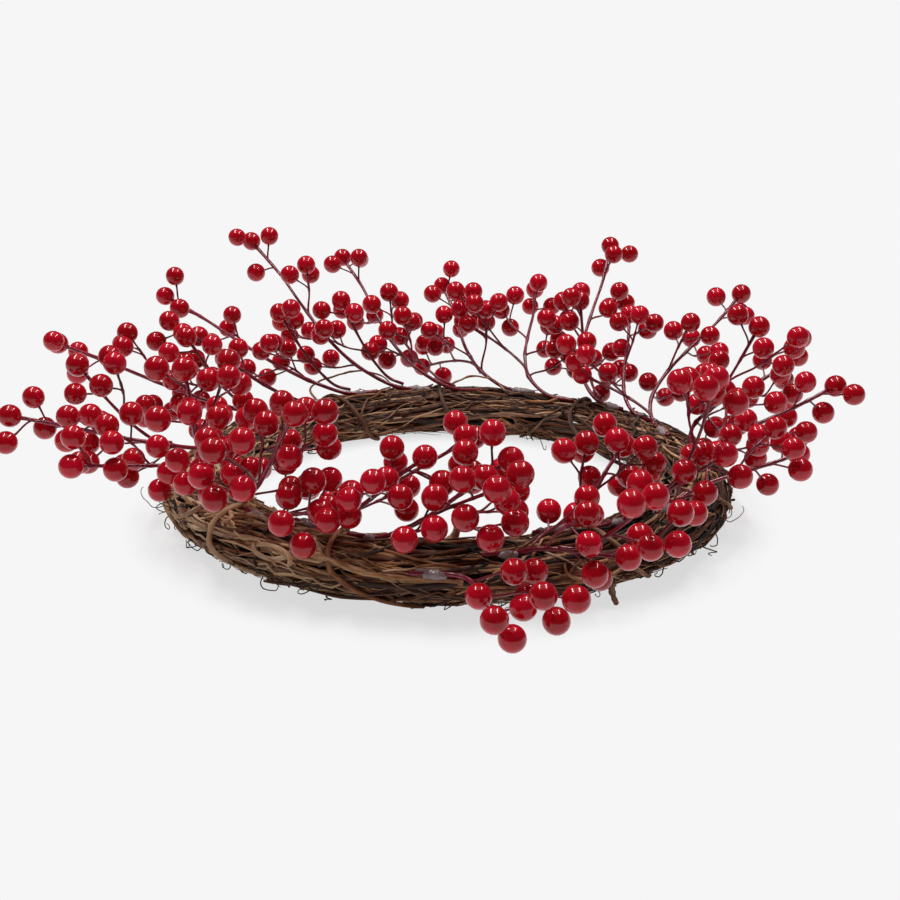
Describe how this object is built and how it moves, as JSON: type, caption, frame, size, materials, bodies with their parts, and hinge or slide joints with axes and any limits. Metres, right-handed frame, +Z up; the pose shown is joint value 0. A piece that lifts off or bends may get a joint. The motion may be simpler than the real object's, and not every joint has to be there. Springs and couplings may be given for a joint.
{
  "type": "berry wreath",
  "caption": "Round wound-vine wreath base, lying flat, with glossy artificial berry sprays that sweep round its top and outside.",
  "frame": {"origin": "on the surface that the wreath lies on, under the middle of the berries' spread in X and Y", "axes": "+Z up, out of the ring's plane; -Y towards the side that the picture is taken from; +X to that side's right"},
  "size_m": [0.4589, 0.4598, 0.1171],
  "materials": {
    "vine": "rough dry bark",
    "binding": "rough dry bark, darker",
    "berry": "clear gloss lacquer"
  },
  "bodies": {
    "root": {"core_vine_inner": "vine", "core_vine_middle": "vine", "core_vine_outer": "vine", "outer_vine_1": "vine", "outer_vine_2": "vine", "outer_vine_3": "vine", "outer_vine_4": "vine", "outer_vine_5": "vine", "outer_vine_6": "vine", "outer_vine_7": "vine", "outer_vine_8": "vine", "binding_vine_1": "binding", "binding_vine_2": "binding", "binding_vine_3": "binding", "binding_vine_4": "binding", "spray_01_stem": "berry", "spray_01_branch": "berry", "spray_02_stem": "berry", "spray_02_branch": "berry", "spray_03_stem": "berry", "spray_04_stem": "berry", "spray_04_branch": "berry", "spray_05_stem": "berry", "spray_05_branch": "berry", "spray_06_stem": "berry", "spray_06_branch": "berry", "spray_07_stem": "berry", "spray_07_branch": "berry", "spray_08_stem": "berry", "spray_08_branch": "berry", "spray_09_stem": "berry", "spray_09_branch": "berry", "spray_10_stem": "berry", "spray_11_stem": "berry", "spray_11_branch": "berry", "spray_12_stem": "berry", "spray_13_stem": "berry", "spray_13_branch": "berry", "spray_14_stem": "berry", "spray_15_stem": "berry", "spray_15_branch": "berry", "spray_16_stem": "berry", "spray_16_branch": "berry", "spray_17_stem": "berry", "spray_18_stem": "berry", "spray_18_branch": "berry", "spray_19_stem": "berry", "spray_19_branch": "berry", "spray_20_stem": "berry", "spray_21_stem": "berry", "spray_21_branch": "berry", "spray_22_stem": "berry", "spray_23_stem": "berry", "spray_23_branch": "berry", "spray_24_stem": "berry", "spray_25_stem": "berry", "spray_25_branch": "berry"}
  },
  "joints": []
}
